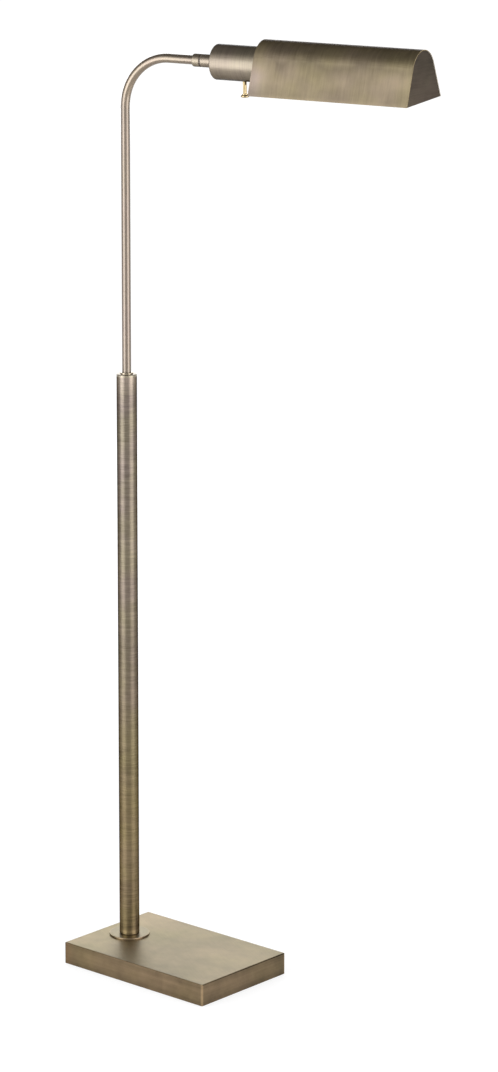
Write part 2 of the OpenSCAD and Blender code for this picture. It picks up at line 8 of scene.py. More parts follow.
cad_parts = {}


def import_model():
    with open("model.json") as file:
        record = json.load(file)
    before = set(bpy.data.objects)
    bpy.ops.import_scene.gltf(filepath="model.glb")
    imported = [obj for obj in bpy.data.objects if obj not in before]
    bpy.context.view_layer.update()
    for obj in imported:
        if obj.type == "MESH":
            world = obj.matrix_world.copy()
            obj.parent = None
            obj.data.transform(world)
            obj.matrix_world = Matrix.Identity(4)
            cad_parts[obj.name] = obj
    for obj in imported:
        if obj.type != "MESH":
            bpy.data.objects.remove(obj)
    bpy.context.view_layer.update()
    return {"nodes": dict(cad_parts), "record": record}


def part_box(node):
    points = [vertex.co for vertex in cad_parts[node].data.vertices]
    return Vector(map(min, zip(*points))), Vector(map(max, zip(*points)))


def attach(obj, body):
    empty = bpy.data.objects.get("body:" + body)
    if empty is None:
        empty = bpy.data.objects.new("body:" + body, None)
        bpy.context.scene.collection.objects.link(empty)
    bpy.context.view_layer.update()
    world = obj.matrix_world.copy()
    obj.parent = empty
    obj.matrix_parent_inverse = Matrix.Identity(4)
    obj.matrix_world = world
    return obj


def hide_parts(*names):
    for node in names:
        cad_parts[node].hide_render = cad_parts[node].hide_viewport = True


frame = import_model()
NODES = frame["nodes"]

# Camera, fitted to the photograph
CAMERA_AZIMUTH = 0.5283
CAMERA_ELEVATION = 0.2394
CAMERA_ROLL = 0.0027
CAMERA_DISTANCE = 5.333
CAMERA_TARGET = (0.14809, 0.08643, 0.625745)
CAMERA_LENS = 126.86
CAMERA_REACH = 200.0

# Places on the lamp, as the model has them
BASE_TURN = math.radians(-11)
BASE_LENGTH, BASE_WIDTH = 0.266, 0.177
POLE_SETBACK = 0.045
BASE_MIDDLE = BASE_LENGTH / 2 - POLE_SETBACK
POLE_LOW, POLE_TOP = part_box("lower_pole")[0][2], 0.859
BEND_RADIUS = 0.070
BEND_HEIGHT = 1.233
ARM_HEIGHT = 1.303
SHADE_LOW, SHADE_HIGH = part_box("shade_shell")
SHADE_CREASE = 1.3135
CUP_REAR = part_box("socket_cup")[0][0]
FLANGE_RIM, CAP_RIM, RING_RIM = 0.0278, 0.0140, 0.0095

ALONG_X, ALONG_Z = Vector((1, 0, 0)), Vector((0, 0, 1))
WHITE = (1.0, 1.0, 1.0, 1.0)

# A noise's middle, and the range that most of it lies in
NOISE_MIDDLE = 0.5
NOISE_LOW, NOISE_HIGH = 0.3, 0.7

# Sockets of a colour Mix node
MIX_FIRST, MIX_SECOND, MIX_RESULT = 6, 7, 2


class Shader:
    """A node material under construction."""

    def __init__(self, name, constants):
        self.material = bpy.data.materials.new(name)
        self.material.use_nodes = True
        self.tree = self.material.node_tree
        self.surface = self.tree.nodes["Principled BSDF"]
        for socket, value in constants.items():
            self.set(socket, value)
        place = self.node("TexCoord").outputs
        self.place, self.facing = place["Object"], place["Normal"]

    def feed(self, value, socket):
        """Links a socket to another one, or sets it to a constant."""
        if isinstance(value, bpy.types.NodeSocket):
            self.tree.links.new(value, socket)
        else:
            socket.default_value = value

    def node(self, kind, inputs=None, **settings):
        made = self.tree.nodes.new("ShaderNode" + kind)
        for key, value in settings.items():
            setattr(made, key, value)
        for key, value in (inputs or {}).items():
            self.feed(value, made.inputs[key])
        return made

    def set(self, socket, value):
        """Feeds a socket of the surface's shader."""
        self.feed(value, self.surface.inputs[socket])

    def math(self, operation, first, second=0.0):
        return self.node("Math", {0: first, 1: second}, operation=operation).outputs[0]

    def add(self, first, *others):
        for other in others:
            first = self.math("ADD", first, other)
        return first

    def minus(self, first, second):
        return self.math("SUBTRACT", first, second)

    def times(self, first, second):
        return self.math("MULTIPLY", first, second)

    def parts(self, vector):
        return self.node("SeparateXYZ", {"Vector": vector}).outputs

    def vector(self, **parts):
        return self.node("CombineXYZ", parts).outputs[0]

    def turn(self, vector, angle):
        """A vector turned about the upright axis."""
        made = self.node("VectorRotate", {"Vector": vector, "Angle": angle}, rotation_type="Z_AXIS")
        return made.outputs[0]

    def noise(self, scale, detail=3.0, roughness=0.55, place=None):
        """Noise on the piece's own coordinates, stretched by a scale per axis."""
        mapped = self.node("Mapping", {"Vector": place or self.place, "Scale": scale})
        return self.node("TexNoise", {"Vector": mapped.outputs[0], "Scale": 1.0, "Detail": detail,
                                      "Roughness": roughness}).outputs["Fac"]

    def grains(self, rows):
        """Pairs of a noise and its swing, from rows of scale, detail and swing."""
        return [(self.noise(scale, detail), swing) for scale, detail, swing in rows]

    def swing(self, *pairs):
        """One, plus each noise's swing about its middle times a weight."""
        swings = [self.times(self.minus(value, NOISE_MIDDLE), weight) for value, weight in pairs]
        return self.add(1.0, *swings)

    def spread(self, value, low, high, to_low, to_high, soft=False):
        """A value's way from low to high, as a way between two other numbers."""
        return self.node("MapRange", {"Value": value, "From Min": low, "From Max": high,
                                      "To Min": to_low, "To Max": to_high},
                         interpolation_type="SMOOTHSTEP" if soft else "LINEAR").outputs["Result"]

    def near(self, value, centre, reach):
        """One at a place along an axis, fading to nothing at a reach from it."""
        away = self.math("ABSOLUTE", self.minus(value, centre))
        return self.spread(away, 0.0, reach, 1.0, 0.0, soft=True)

    def lift(self, shade, mask, amount):
        """A shade with an amount added where a mask is one."""
        return self.add(shade, self.times(mask, amount))

    def ramp(self, value, stops):
        """A colour that goes through stops of position and colour."""
        made = self.node("ValToRGB", {"Fac": value})
        elements = made.color_ramp.elements
        for position, _ in stops[1:-1]:
            elements.new(position)
        for element, (position, colour) in zip(elements, stops):
            element.position = position
            element.color = (*colour, 1.0)
        return made.outputs["Color"]

    def mottle(self, value, colours):
        """A colour that goes from one to another as a noise does."""
        return self.ramp(value, tuple(zip((NOISE_LOW, NOISE_HIGH), colours)))

    def mix(self, kind, factor, first, second):
        mixed = self.node("Mix", data_type="RGBA", blend_type=kind)
        self.feed(factor, mixed.inputs["Factor"])
        for value, socket in ((first, mixed.inputs[MIX_FIRST]), (second, mixed.inputs[MIX_SECOND])):
            self.feed((*value, 1.0) if isinstance(value, tuple) else value, socket)
        return mixed.outputs[MIX_RESULT]

    def bump(self, height, strength, distance):
        made = self.node("Bump", {"Height": height, "Strength": strength, "Distance": distance})
        self.set("Normal", made.outputs[0])


def grain(axis, fast, slow):
    """Scale that makes lines across an axis: fine along it and long in the other directions."""
    return tuple(slow + (fast - slow) * abs(part) for part in axis)


# Antique brass: how it shines
BRUSHED = {"Metallic": 1.0, "Anisotropic": 0.6, "Specular Tint": (0.02, 0.02, 0.02, 1.0),
           "Coat Weight": 0.2, "Coat Roughness": 0.25}
SATIN = {"Metallic": 1.0, "Anisotropic": 0.0, "Specular Tint": (0.94, 1.0, 0.93, 1.0),
         "Coat Weight": 0.08, "Coat Roughness": 0.35}
BUFFED = {"Metallic": 1.0, "Anisotropic": 0.0, "Specular Tint": WHITE,
          "Coat Weight": 0.3, "Coat Roughness": 0.3}

# Antique brass: where its casts drift, what its lines do to the gloss, and how deep they are
DRIFT_LOW, DRIFT_HIGH = 0.38, 0.62
LINE_ROUGH = 0.05
LINE_DEPTH = 0.0001
DEEP_GROOVE, FINE_GROOVE, FAINT_GROOVE = 0.10, 0.06, 0.01


def casts(s, hues, scale):
    """Two casts of patina that drift into each other."""
    drift = s.spread(s.noise((scale, scale, scale), detail=2), DRIFT_LOW, DRIFT_HIGH, 0.0, 1.0)
    return s.mix("MIX", drift, *hues)


def brass(s, hue, shade, hair, rough, groove=DEEP_GROOVE):
    """Antique brass of a hue, lighter and darker by a shade, with brushed grooves."""
    s.set("Base Color", s.mix("MULTIPLY", 1.0, hue, shade))
    s.set("Roughness", s.spread(hair, NOISE_LOW, NOISE_HIGH, rough - LINE_ROUGH, rough + LINE_ROUGH))
    s.bump(hair, groove, LINE_DEPTH)


def aim_gloss(s, axis):
    """Spreads the gloss along an axis, across the brushed lines."""
    s.set("Tangent", s.vector(X=axis.x, Y=axis.y, Z=axis.z))


# Pole: hues by height, yellower low down and a little darker from about 0.2 to 0.5 m up, partly painted shade
# where less lamp light falls; lighter places as height, reach and lift
POLE_GLOSS = {**BRUSHED, "Coat Weight": 0.05}
POLE_ROUGH = 0.41
POLE_HUES = ((0.03, (0.222, 0.166, 0.094)), (0.23, (0.174, 0.135, 0.071)),
             (0.45, (0.174, 0.142, 0.103)), (0.80, (0.184, 0.153, 0.121)))
POLE_CASTS, POLE_DRIFT = ((1.0, 1.02, 0.93), (1.0, 0.97, 1.03)), 22.0
POLE_GRAINS = ((grain(ALONG_Z, 900, 60), 2, 1.2), (grain(ALONG_Z, 300, 25), 3, 0.65),
               (grain(ALONG_Z, 14, 24), 3, 0.8))
POLE_HIGHLIGHT_AND_PATCHES = ((POLE_LOW + 0.004, 0.006, 0.6), (POLE_TOP, 0.040, 0.35), (0.525, 0.075, 0.12))


def pole_brass():
    """Brass tube of the pole, with lines around it, yellower low down and a little darker below its middle
    (partly painted shade), and a painted highlight at its foot.
    """
    s = Shader("pole_brass", POLE_GLOSS)
    grains = s.grains(POLE_GRAINS)
    height = s.parts(s.place)["Z"]
    hue = s.mix("MULTIPLY", 1.0, s.ramp(height, POLE_HUES), casts(s, POLE_CASTS, POLE_DRIFT))
    shade = s.swing(*grains)
    # a painted highlight at the pole's foot, lighter near its top, and a paler patch halfway up
    for place, reach, lift in POLE_HIGHLIGHT_AND_PATCHES:
        shade = s.lift(shade, s.near(height, place, reach), lift)
    brass(s, hue, shade, grains[0][0], POLE_ROUGH)
    aim_gloss(s, ALONG_Z)
    return s.material


# Stem: a painted highlight along its bend that fades along the arm, as from, to, and the lift at each along
# its path
STEM_GLOSS = {**BRUSHED, "Anisotropic": 0.4, "Specular Tint": (0.50, 0.47, 0.44, 1.0),
              "Coat Weight": 1.0, "Coat Roughness": 0.14}
STEM_ROUGH = 0.37
STEM_HUES, STEM_DRIFT = ((0.170, 0.132, 0.091), (0.170, 0.126, 0.095)), 9.0
STEM_LINES, STEM_LINE_SWING = (0, 0, 1500), 0.10
STEM_BLOTCH, STEM_BLOTCH_SWING = (20, 20, 20), 0.35
STEM_BEND_PAINTED_HIGHLIGHT = (BEND_HEIGHT, BEND_HEIGHT + 0.03, 0.0, 0.30)
STEM_ARM_HIGHLIGHT_FADE = (1.33, 1.40, 0.0, -0.20)
LEAST_RUN = 1e-5


def stem_brass():
    """Smoother brass tube with faint lines around its bent path, and a painted highlight along its bend."""
    s = Shader("stem_brass", STEM_GLOSS)
    xyz = s.parts(s.place)
    rise = s.math("MAXIMUM", s.minus(xyz["Z"], BEND_HEIGHT), 0.0)
    run = s.math("MAXIMUM", s.minus(BEND_RADIUS, xyz["X"]), LEAST_RUN)
    angle = s.math("ARCTAN2", rise, run)
    upright = s.math("MINIMUM", xyz["Z"], BEND_HEIGHT)
    level = s.math("MAXIMUM", s.minus(xyz["X"], BEND_RADIUS), 0.0)
    path = s.add(upright, s.times(angle, BEND_RADIUS), level)
    hair = s.noise(STEM_LINES, detail=2, place=s.vector(Z=path))
    shade = s.swing((hair, STEM_LINE_SWING), (s.noise(STEM_BLOTCH), STEM_BLOTCH_SWING))
    # painted highlight along the bend, fading along the arm
    shade = s.add(shade, s.spread(path, *STEM_BEND_PAINTED_HIGHLIGHT), s.spread(path, *STEM_ARM_HIGHLIGHT_FADE))
    brass(s, casts(s, STEM_HUES, STEM_DRIFT), shade, hair, STEM_ROUGH, FAINT_GROOVE)
    s.set("Tangent", s.vector(X=s.math("SINE", angle), Z=s.math("COSINE", angle)))
    return s.material


# Cup and swivel: the swivel, behind the cup, is lighter
CUP_GLOSS = {**BRUSHED, "Anisotropic": 0.1, "Coat Weight": 0.3, "Coat Roughness": 0.22}
CUP_ROUGH = 0.42
CUP_HUES, CUP_DRIFT = ((0.205, 0.174, 0.123), (0.205, 0.167, 0.126)), 14.0
CUP_GRAINS = ((grain(ALONG_X, 1100, 16), 2, 0.80), ((22, 30, 30), 3, 0.5))
SWIVEL_LIFT = (CUP_REAR - 0.002, CUP_REAR, 0.16, 0.0)


def cup_brass():
    """Turned brass of the swivel and the socket cup, with lines around the arm."""
    s = Shader("cup_brass", CUP_GLOSS)
    grains = s.grains(CUP_GRAINS)
    shade = s.add(s.swing(*grains), s.spread(s.parts(s.place)["X"], *SWIVEL_LIFT))
    brass(s, casts(s, CUP_HUES, CUP_DRIFT), shade, grains[0][0], CUP_ROUGH)
    aim_gloss(s, ALONG_X)
    return s.material


# Shade: its gloss, hues and grain
SHADE_GLOSS = {**BRUSHED, "Anisotropic": 0.15, "Specular Tint": (0.12, 0.07, 0.08, 1.0)}
SHADE_ROUGH = 0.50
SHADE_HUES, SHADE_DRIFT = ((0.187, 0.151, 0.086), (0.187, 0.146, 0.097)), 16.0
SHADE_GRAINS = (((520, 45, 45), 3, 0.72), ((160, 9, 9), 2, 0.36), ((18, 30, 30), 3, 0.75))
# the wave wobbles the heights at which the painted light and painted shade change
WAVE_SCALE, WAVE_HEIGHT = (22, 22, 5), 0.04
REAR_CAST = (1.0, 1.0, 1.22)

# Shade: changes by height as from, to, and the value at each: painted light on the round top, painted shade
# under the crease, and a greyer cast low at the rear
ROUND_TOP_PAINTED_LIGHT = (SHADE_CREASE, 1.322, 0.0, 0.20)
UNDER_CREASE_PAINTED_SHADE = (SHADE_CREASE, 1.283, 1.0, 0.0)
PAINTED_SHADE_CURVE, PAINTED_SHADE_LIFT = 2.0, -0.30
REAR_GREY = (1.293, SHADE_CREASE, 1.0, 0.0)

# Shade: lighter places as centre and reach, and how much lighter they are: painted highlights along the lower
# rim, on the cut front edge, at the rear and near the front end, and a band of painted light at mid-height
RIM, RIM_HIGHLIGHT_LIFT = (SHADE_LOW[2], 0.006), 0.2
REAR_END, REAR_SIDE, REAR_TOP = (SHADE_LOW[0] + 0.008, 0.030), (1.290, 0.026), (1.327, 0.012)
REAR_HIGHLIGHT = 0.55
PAINTED_LIGHT_BAND, PAINTED_LIGHT_BAND_LIFT = (1.299, 0.018), 0.09
TIP_END, TIP_SIDE, TIP_HIGHLIGHT = (SHADE_HIGH[0] - 0.004, 0.080), (1.301, 0.022), 0.38
CUT_EDGE_FACING, CUT_EDGE_HIGHLIGHT = 0.8, 0.9
SHADE_LIFT = 0.12


def shade_brass():
    """Brass sheet of the shade: fine lines across it, cloudy patina, painted shade under the crease, painted
    light above it and at mid-height, and painted highlights on the rim, the cut edge and both ends.
    """
    s = Shader("shade_brass", SHADE_GLOSS)
    grains = s.grains(SHADE_GRAINS)
    xyz = s.parts(s.place)
    wave = s.times(s.minus(s.noise(WAVE_SCALE, detail=2), NOISE_MIDDLE), WAVE_HEIGHT)
    height = s.add(xyz["Z"], wave)
    # painted shade under the crease, deepest just below it
    under = s.math("POWER", s.spread(height, *UNDER_CREASE_PAINTED_SHADE), PAINTED_SHADE_CURVE)
    rear = s.near(xyz["X"], *REAR_END)
    lightening = s.math("MAXIMUM", s.near(xyz["Z"], *REAR_SIDE), s.near(xyz["Z"], *REAR_TOP))
    tip = s.times(s.near(xyz["X"], *TIP_END), s.near(xyz["Z"], *TIP_SIDE))
    cut_edge = s.math("GREATER_THAN", s.parts(s.facing)["X"], CUT_EDGE_FACING)
    # painted light on the round top; the loop adds painted shade, painted highlights and the painted light
    # band
    shade = s.add(s.swing(*grains), s.spread(height, *ROUND_TOP_PAINTED_LIGHT), SHADE_LIFT)
    for mask, lift in ((under, PAINTED_SHADE_LIFT), (s.near(xyz["Z"], *RIM), RIM_HIGHLIGHT_LIFT),
                       (s.times(rear, lightening), REAR_HIGHLIGHT), (s.near(height, *PAINTED_LIGHT_BAND), PAINTED_LIGHT_BAND_LIFT),
                       (tip, TIP_HIGHLIGHT), (cut_edge, CUT_EDGE_HIGHLIGHT)):
        shade = s.lift(shade, mask, lift)
    dull = s.times(rear, s.spread(xyz["Z"], *REAR_GREY))
    hue = s.mix("MULTIPLY", dull, casts(s, SHADE_HUES, SHADE_DRIFT), REAR_CAST)
    brass(s, hue, shade, grains[0][0], SHADE_ROUGH)
    aim_gloss(s, ALONG_X)
    return s.material


# Shade's end plates: lighter towards the rim
PLATE_GLOSS = {**BRUSHED, "Anisotropic": 0.4}
PLATE_ROUGH = 0.46
PLATE_HUES, PLATE_DRIFT = ((0.110, 0.091, 0.068), (0.110, 0.088, 0.070)), 20.0
PLATE_GRAINS = ((grain(ALONG_Z, 1000, 20), 3, 1.0), ((35, 35, 35), 3, 0.7))
PLATE_LIFT = (1.275, 1.325, 0.4, 0.0)


def plate_brass():
    """Darker brass of the shade's end plates, brushed level."""
    s = Shader("plate_brass", PLATE_GLOSS)
    grains = s.grains(PLATE_GRAINS)
    shade = s.add(s.swing(*grains), s.spread(s.parts(s.place)["Z"], *PLATE_LIFT))
    brass(s, casts(s, PLATE_HUES, PLATE_DRIFT), shade, grains[0][0], PLATE_ROUGH)
    aim_gloss(s, ALONG_Z)
    return s.material


# Foot: its hues, its noises as scale, detail and roughness, and the swing that each gives
BASE_ROUGH = 0.45
BASE_HUES, BASE_DRIFT = ((0.191, 0.146, 0.083), (0.193, 0.142, 0.089)), 12.0
SIDE_CAST = (1.0, 0.95, 0.88)
BASE_HAIR, HAIR_SWING = (grain(ALONG_Z, 1000, 10), 3.0, 0.55), 0.35
BASE_STREAK, STREAK_SWING = (grain(ALONG_Z, 260, 6), 3.0, 0.55), 0.5
BASE_CLOUD, CLOUD_SWING = ((13, 18, 18), 2.5, 0.5), 0.8
BASE_MOTTLE, TOP_MOTTLE_SWING, SIDE_MOTTLE_SWING = ((70, 70, 70), 3.0, 0.6), 0.35, 0.5
BASE_SCRATCH, SCRATCH_SWING, SCRATCH_TURN = ((30, 420, 30), 3.0, 0.55), 0.22, 0.5

# Foot: how a face lies that counts as its top or as its far end
TOP_FACING, END_FACING = (0.75, 0.95, 0.0, 1.0), (0.4, 0.8, 0.0, 1.0)

# Foot: changes along one of its own axes as from, to, and the value at each; several are painted shade and
# painted reflections
# painted shade low on the sides near the floor; darker just under the top edge
SIDE_LOW_PAINTED_SHADE, SIDE_HIGH = (0.002, 0.014, -0.20, 0.0), (0.022, 0.029, 0.0, -0.08)
SIDE_FRONT = (0.15, 0.21, 0.0, -0.16)
# painted shade on the far end face
END_FACE_PAINTED_SHADE = -0.17
# a painted reflection, lighter at the pole's end of the top; lighter at the top's far end
TOP_NEAR_END_PAINTED_REFLECTION, TOP_FAR_END = (-0.025, 0.020, 0.25, 0.0), (0.16, 0.22, 0.0, 0.10)
# a painted dark reflection of the pole along the top's front
TOP_FRONT_PAINTED_REFLECTION, TOP_FRONT_START = (-BASE_WIDTH / 2, 0.04, -0.21, 0.0), (0.0, 0.06, 0.0, 1.0)

# Foot: how the rounding of its top edge lies, and its painted shade there from the front to the far end
TOP_EDGE, TOP_EDGE_PAINTED_SHADE = (0.5, 0.45), (0.0, 0.6, -0.15, -0.45)

# Foot: where the marks on its upright corners begin and end, their lift (wear with a painted highlight
# towards the far end, darker by the pole), and the warm patch at the corner by the pole
EDGE_FROM, EDGE_TO = 0.0034, 0.0008
CORNER_WEAR_AND_HIGHLIGHT = (0.0, 0.1, -0.35, 0.80)
WARM_HUE, WARM_REACH, WARM_SHARE = (0.222, 0.132, 0.066), 0.020, 0.6


def corner_mask(s, xyz):
    """One along the foot's upright corners, where two of its sides meet."""
    along = s.math("ABSOLUTE", s.minus(xyz["X"], BASE_MIDDLE))
    across = s.math("ABSOLUTE", xyz["Y"])
    close = [s.spread(value, half - EDGE_FROM, half - EDGE_TO, 0.0, 1.0)
             for value, half in ((along, BASE_LENGTH / 2), (across, BASE_WIDTH / 2))]
    return s.times(*close)


def warm_mask(s, xyz, side):
    """A share on the foot's sides, at the corner by the pole."""
    along, across = s.near(xyz["X"], -POLE_SETBACK, WARM_REACH), s.near(xyz["Y"], -BASE_WIDTH / 2, WARM_REACH)
    return s.times(s.times(along, across), s.times(side, WARM_SHARE))


def side_painted_shade(s, xyz, facing):
    """Painted shade low on the foot's sides, on its far end and on the rounding of its top edge; darker by
    its front corner and just under its top edge.
    """
    low, high = s.spread(xyz["Z"], *SIDE_LOW_PAINTED_SHADE), s.spread(xyz["Z"], *SIDE_HIGH)
    end = s.spread(facing["X"], *END_FACING)
    front = s.times(s.spread(xyz["X"], *SIDE_FRONT), s.minus(1.0, end))
    edge = s.times(s.near(facing["Z"], *TOP_EDGE), s.spread(facing["X"], *TOP_EDGE_PAINTED_SHADE))
    return s.add(low, high, front, s.times(end, END_FACE_PAINTED_SHADE), edge)


def top_painted_reflections(s, xyz):
    """Painted reflections on the foot's top: lighter at the pole's end, a dark reflection of the pole along
    the front; lighter at the far end.
    """
    ends = s.add(s.spread(xyz["X"], *TOP_NEAR_END_PAINTED_REFLECTION), s.spread(xyz["X"], *TOP_FAR_END))
    front = s.times(s.spread(xyz["Y"], *TOP_FRONT_PAINTED_REFLECTION), s.spread(xyz["X"], *TOP_FRONT_START))
    return s.add(front, ends)


def base_brass():
    """Brass sheet of the foot: satin top with cloudy patina, sides brushed level, painted reflections on the
    top, painted shade on the sides, and corners worn and lit by a painted highlight.
    """
    s = Shader("base_brass", SATIN)
    turned = s.turn(s.place, -BASE_TURN)
    xyz, facing = s.parts(turned), s.parts(s.turn(s.facing, -BASE_TURN))
    top = s.spread(facing["Z"], *TOP_FACING)
    side = s.minus(1.0, top)
    hair, streak, cloud, mottle = (s.noise(*row, place=turned)
                                   for row in (BASE_HAIR, BASE_STREAK, BASE_CLOUD, BASE_MOTTLE))
    scratch = s.noise(*BASE_SCRATCH, place=s.turn(turned, SCRATCH_TURN))
    lines = s.add(s.times(hair, side), s.times(top, NOISE_MIDDLE))
    top_grain = s.minus(s.swing((mottle, TOP_MOTTLE_SWING), (scratch, SCRATCH_SWING)), 1.0)
    side_grain = s.minus(s.swing((streak, STREAK_SWING), (mottle, SIDE_MOTTLE_SWING)), 1.0)
    shade = s.swing((lines, HAIR_SWING), (cloud, CLOUD_SWING))
    # painted reflections on the top, painted shade on the sides, and wear with a painted highlight on the far
    # corners
    shade = s.lift(shade, top, s.add(top_grain, top_painted_reflections(s, xyz)))
    shade = s.lift(shade, side, s.add(side_grain, side_painted_shade(s, xyz, facing)))
    shade = s.lift(shade, corner_mask(s, xyz), s.spread(xyz["X"], *CORNER_WEAR_AND_HIGHLIGHT))
    hue = s.mix("MULTIPLY", side, casts(s, BASE_HUES, BASE_DRIFT), SIDE_CAST)
    hue = s.mix("MIX", warm_mask(s, xyz, side), hue, WARM_HUE)
    brass(s, hue, shade, lines, BASE_ROUGH, FINE_GROOVE)
    return s.material


def from_axis(s, xyz):
    """Distance from the pole's axis."""
    return s.math("SQRT", s.add(*(s.times(xyz[part], xyz[part]) for part in ("X", "Y"))))


# Buffed pieces on the pole: hues, roughness, gloss, the radius of the rim, and how much its painted highlight
# lightens it
BUFFED_PIECES = {
    "cap_brass": (((0.252, 0.216, 0.157), (0.252, 0.211, 0.164)), 0.36, BUFFED, CAP_RIM, 0.15),
    "ring_brass": (((0.390, 0.335, 0.245), (0.395, 0.330, 0.255)), 0.28, BUFFED, RING_RIM, 0.5),
    "flange_brass": (((0.172, 0.130, 0.079), (0.172, 0.125, 0.083)), 0.38, SATIN, FLANGE_RIM, 0.8),
}
BUFFED_DRIFT = 30.0
BUFFED_RINGS, BUFFED_RING_SWING = (1200, 0, 1200), 0.4
BUFFED_BLOTCH, BUFFED_BLOTCH_SWING = (60, 60, 60), 0.5
RIM_WIDTH = 0.0008


def buffed_brass(name):
    """Turned brass with faint rings, and a painted highlight outside a rim's radius."""
    hues, rough, gloss, rim, lightening = BUFFED_PIECES[name]
    s = Shader(name, gloss)
    xyz = s.parts(s.place)
    out = from_axis(s, xyz)
    hair = s.noise(BUFFED_RINGS, detail=2, place=s.vector(X=out, Z=xyz["Z"]))
    shade = s.swing((hair, BUFFED_RING_SWING), (s.noise(BUFFED_BLOTCH), BUFFED_BLOTCH_SWING))
    # painted highlight on the rim
    shade = s.lift(shade, s.spread(out, rim, rim + RIM_WIDTH, 0.0, 1.0), lightening)
    brass(s, casts(s, hues, BUFFED_DRIFT), shade, hair, rough, FINE_GROOVE)
    return s.material


# Polished brass: dull spots and fine scratches
POLISHED_GLOSS = {"Metallic": 1.0, "Coat Weight": 0.2, "Coat Roughness": 0.1}
POLISHED_HUES = ((0.24, 0.18, 0.09), (0.35, 0.27, 0.15))
POLISHED_SPOTS, DULL_ROUGH, BRIGHT_ROUGH = (260, 260, 260), 0.12, 0.05
POLISHED_SCRATCH, SCRATCH_GROOVE = (90, 90, 1800), 0.05


def polished_brass():
    """Bright brass of the switch and the lampholder's metal, with fine scratches and dull spots."""
    s = Shader("polished_brass", POLISHED_GLOSS)
    spots = s.noise(POLISHED_SPOTS, detail=4)
    s.set("Base Color", s.mottle(spots, POLISHED_HUES))
    s.set("Roughness", s.spread(spots, NOISE_LOW, NOISE_HIGH, DULL_ROUGH, BRIGHT_ROUGH))
    s.bump(s.noise(POLISHED_SCRATCH, detail=2), SCRATCH_GROOVE, LINE_DEPTH)
    return s.material


# Mottled materials that the record names: two colours, mottles per metre, roughness, grit and constants
SURFACES = {
    "zinc_steel": (((0.42, 0.43, 0.45), (0.60, 0.61, 0.62)), 500, 0.36, 0.08, {"Metallic": 1.0}),
    "cast_iron": (((0.030, 0.028, 0.027), (0.062, 0.058, 0.055)), 180, 0.68, 0.9, {"Metallic": 0.4}),
    "nylon": (((0.66, 0.63, 0.55), (0.76, 0.73, 0.65)), 120, 0.45, 0.12,
              {"Subsurface Weight": 0.15, "Subsurface Radius": (0.002, 0.002, 0.0016)}),
    "black_plastic": (((0.014, 0.014, 0.014), (0.030, 0.029, 0.028)), 300, 0.48, 0.25, {}),
    "rubber": (((0.012, 0.012, 0.012), (0.026, 0.025, 0.024)), 260, 0.74, 0.35, {}),
    "porcelain": (((0.70, 0.67, 0.60), (0.78, 0.75, 0.68)), 90, 0.34, 0.04,
                  {"Coat Weight": 1.0, "Coat Roughness": 0.06}),
    "frosted_glass": (((0.90, 0.89, 0.85), (0.95, 0.94, 0.91)), 220, 0.46, 0.08,
                      {"Transmission Weight": 0.75, "IOR": 1.46}),
}

# Brown fibre of the swivel's friction washer, the dark groove, and pale sprayed enamel inside the shade
WASHER_FIBRE = (((0.105, 0.078, 0.060), (0.185, 0.145, 0.112)), 420, 0.58, 0.3, {})
WASHER_STRETCH = (1, 3, 3)
SHADE_ENAMEL = (((0.66, 0.63, 0.56), (0.73, 0.70, 0.63)), 60, 0.40, 0.10,
                {"Coat Weight": 0.2, "Coat Roughness": 0.3})

# Mottled materials: how uneven their gloss is, how much finer than the mottles the grit is, and its depth
MOTTLE_ROUGH = 0.06
GRIT_FINER, GRIT_DEPTH = 6, 0.0002


def surface(name, colours, scale, rough, grit, constants, stretch=(1, 1, 1)):
    """A mottled material: two colours that a noise mixes, uneven gloss and a gritty skin."""
    s = Shader(name, constants)
    mottle = s.noise(tuple(scale * part for part in stretch), detail=4)
    s.set("Base Color", s.mottle(mottle, colours))
    s.set("Roughness", s.spread(mottle, NOISE_LOW, NOISE_HIGH, rough - MOTTLE_ROUGH, rough + MOTTLE_ROUGH))
    s.bump(s.noise((scale * GRIT_FINER,) * 3, detail=2), grit, GRIT_DEPTH)
    return s.material


# Felt cloth: fibres that lie both ways, and how dark and light they make its dye
FELT_GLOSS = {"Roughness": 0.95, "Sheen Weight": 0.5, "Sheen Roughness": 0.6, "Specular IOR Level": 0.1}
FELT_FIBRES = ((900, 140, 900), (140, 900, 900))
FELT_FIBRE_SHADE = (0.4, 0.75, 0.55, 1.5)
FELT_DYE, FELT_DYE_HUES = (40, 40, 40), ((0.012, 0.030, 0.014), (0.022, 0.048, 0.024))
FELT_FUZZ, FELT_FUZZ_DEPTH = 0.6, 0.0004


def felt_cloth():
    """Pressed wool felt: short fibres that cross, uneven dye and a soft sheen."""
    s = Shader("felt_cloth", FELT_GLOSS)
    fibre = s.math("MAXIMUM", *(s.noise(scale) for scale in FELT_FIBRES))
    hue = s.mottle(s.noise(FELT_DYE, detail=4), FELT_DYE_HUES)
    s.set("Base Color", s.mix("MULTIPLY", 1.0, hue, s.spread(fibre, *FELT_FIBRE_SHADE)))
    s.bump(fibre, FELT_FUZZ, FELT_FUZZ_DEPTH)
    return s.material


# Felt sheet: its cut, and the inset and height of each row of points from its underside to its top
FELT_MARGIN = 0.005
FELT_THICK = 0.002
FELT_CORNER, FELT_LEAST_CORNER = 0.006, 0.0005
FELT_SIDE_POINTS, FELT_CORNER_POINTS = 24, 8
FELT_ROWS = ((0.030, 0.0), (0.006, 0.0), (0.0012, 0.0), (0.0004, 0.0002), (0.0, 0.0007), (0.0, 0.0014),
             (0.0003, 0.0018), (0.0010, FELT_THICK), (0.006, FELT_THICK))

# Felt sheet: how far its edge is ragged, at what scale, and how far in
FELT_RAG, FELT_RAG_SCALE, FELT_RAG_REACH = 0.0003, (300, 300, 900), 0.002


